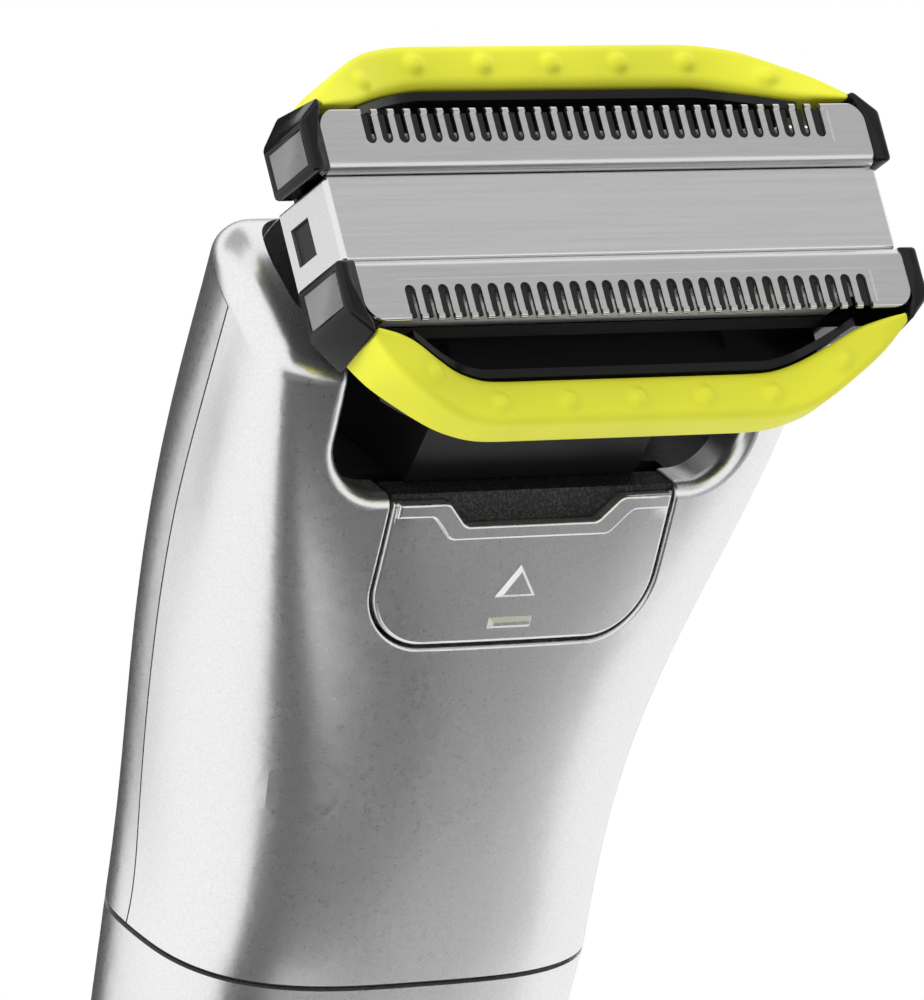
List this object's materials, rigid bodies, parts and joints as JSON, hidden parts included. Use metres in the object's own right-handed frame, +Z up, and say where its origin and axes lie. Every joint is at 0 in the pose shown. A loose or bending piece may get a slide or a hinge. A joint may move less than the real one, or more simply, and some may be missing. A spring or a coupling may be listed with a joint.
{
  "type": "electric body shaver",
  "caption": "Upright electric body shaver: silver handle with release and power buttons and a removable angled shaving head with slotted combs, sliding cutters and lime bumper guards.",
  "frame": {"origin": "centre of the flat foot that the shaver stands on, on the axis of the charging jack", "axes": "+Z up along the handle, -Y to the front where the release button and the shaving face are, +X right"},
  "size_m": [0.0462, 0.0335, 0.1525],
  "materials": {
    "silver": "satin silver metallic lacquer on moulded plastic",
    "black_gloss": "polished black moulding",
    "black_matt": "fine matt black moulding",
    "black_rubber": "matt black elastomer",
    "lime_rubber": "satin lime-yellow elastomer",
    "steel": "finely brushed stainless steel",
    "nickel": "nickel-plated sheet",
    "copper": "enamelled copper winding",
    "clear_plastic": "clear moulding",
    "board_green": "green laminate",
    "cell_wrap": "shrink-wrapped cell",
    "grey_inner": "grey moulding",
    "white_inner": "white low-friction moulding"
  },
  "bodies": {
    "handle": {"front_cover": "silver", "back_cover": "silver", "cover_screws": "steel", "lower_body": "silver", "waist_gasket": "black_rubber", "base_cap": "silver", "base_seal": "black_rubber", "base_screws": "steel", "charge_jack": "black_matt", "power_switch": "black_matt", "status_led": "clear_plastic", "light_pipe": "clear_plastic", "control_board": "board_green", "battery_cell": "cell_wrap", "battery_tab_low": "nickel", "battery_tab_high": "nickel", "chassis": "grey_inner", "motor_can": "nickel", "motor_end_bell": "grey_inner", "lever_pin": "steel", "drive_seal": "black_rubber", "deck_plate": "black_matt", "release_spring": "steel"},
    "power_button": {"power_button": "black_matt"},
    "release": {"release_button": "silver", "release_grip": "black_rubber", "release_yoke": "black_matt"},
    "rotor": {"motor_shaft": "steel", "motor_armature": "copper", "drive_cam": "white_inner"},
    "lever": {"drive_lever": "white_inner"},
    "head": {"neck_plug": "black_matt", "head_frame": "black_gloss", "head_screws": "steel", "centre_strip": "steel", "comb_back": "steel", "comb_front": "steel", "cap_back_right": "black_gloss", "cap_back_left": "black_gloss", "cap_front_right": "black_gloss", "cap_front_left": "black_gloss", "guard_back": "lime_rubber", "guard_front": "lime_rubber"},
    "cutters": {"cutter_back": "steel", "cutter_front": "steel", "blade_spring_back": "steel", "blade_spring_front": "steel", "cutter_carriage": "white_inner"}
  },
  "joints": [
    {"name": "power_press", "type": "slide", "parent": "handle", "child": "power_button", "axis": [0, 1, 0], "range_m": [0, 0.0006], "stiffness_N_per_m": 800, "springref_m": -0.0006},
    {"name": "release_press", "type": "slide", "parent": "handle", "child": "release", "axis": [0, 1, 0], "range_m": [0, 0.001], "stiffness_N_per_m": 1500, "springref_m": -0.001, "deforming": ["release_spring"]},
    {"name": "motor_spin", "type": "hinge", "parent": "handle", "child": "rotor", "pos_m": [0, 0.0007, 0.08], "axis": [0, 0, 1], "continuous": true},
    {"name": "lever_swing", "type": "hinge", "parent": "handle", "child": "lever", "pos_m": [0, 0.0007, 0.1137], "axis": [0, 0.9511, 0.309], "range_deg": [-1.9, 1.9]},
    {"name": "head_lift", "type": "slide", "parent": "handle", "child": "head", "axis": [0, -0.309, 0.9511], "range_m": [0, 0.03]},
    {"name": "cutter_slide", "type": "slide", "parent": "head", "child": "cutters", "axis": [1, 0, 0], "range_m": [-0.001, 0.001]}
  ],
  "couplings": [
    {"joint": "cutter_slide", "follows": "lever_swing", "m_per_rad": 0.03}
  ]
}
